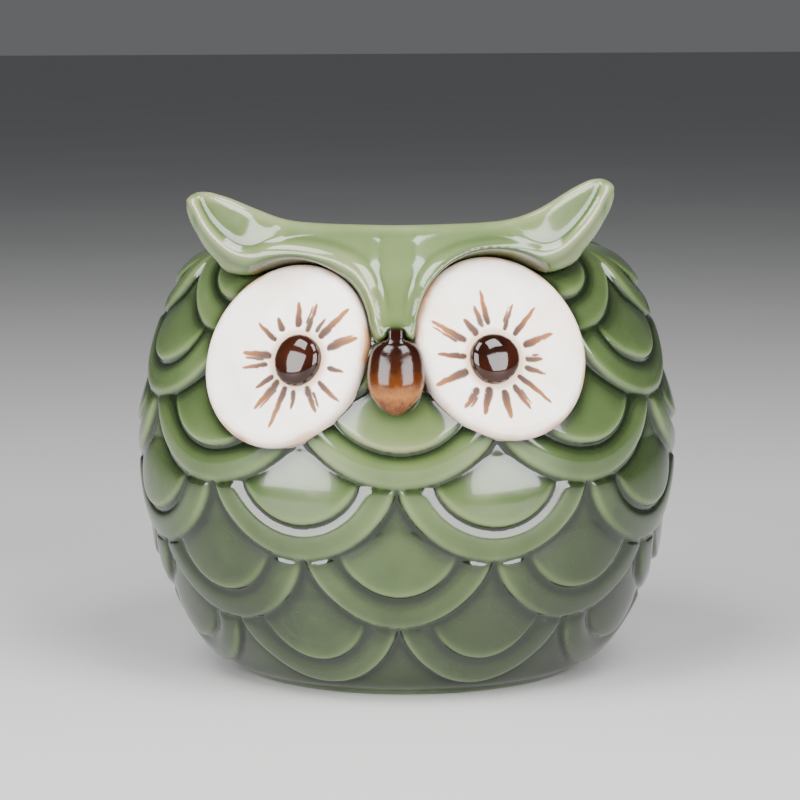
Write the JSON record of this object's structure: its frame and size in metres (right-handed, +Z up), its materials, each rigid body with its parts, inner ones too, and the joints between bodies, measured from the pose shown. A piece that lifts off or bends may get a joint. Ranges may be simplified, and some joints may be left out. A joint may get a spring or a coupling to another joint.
{
  "type": "animal coin bank",
  "caption": "Glazed ceramic coin bank in the shape of a round owl, with ear tufts, dished eyes, a coin slot in the head and a rubber stopper in the base.",
  "frame": {"origin": "on the table, under the middle of the whole outline; the body's own axis is 2 mm behind it", "axes": "+Z up, the face looks along -Y, +X to the right of someone who faces the owl"},
  "size_m": [0.1398, 0.13, 0.1289],
  "materials": {
    "green_glaze": "translucent celadon green gloss glaze that pools dark in the feather grooves",
    "crown_green_glaze": "the same gloss glaze, thinner and lighter on the ridges",
    "cream_glaze": "cream satin-gloss glaze with brown-stained incised rays",
    "dark_brown_glaze": "thick, nearly black brown gloss glaze",
    "beak_brown_glaze": "brown gloss glaze, lighter towards the tip",
    "stopper_rubber": "matt off-white soft rubber"
  },
  "bodies": {
    "bank": {"body_shell": "green_glaze", "crown_tufts": "crown_green_glaze", "eye_disc_left": "cream_glaze", "eye_disc_right": "cream_glaze", "pupil_left": "dark_brown_glaze", "pupil_right": "dark_brown_glaze", "beak": "beak_brown_glaze"},
    "stopper": {"base_stopper": "stopper_rubber"}
  },
  "joints": [
    {"name": "stopper_pull", "type": "slide", "parent": "bank", "child": "stopper", "axis": [0, 0, -1], "range_m": [0, 0.025]}
  ]
}
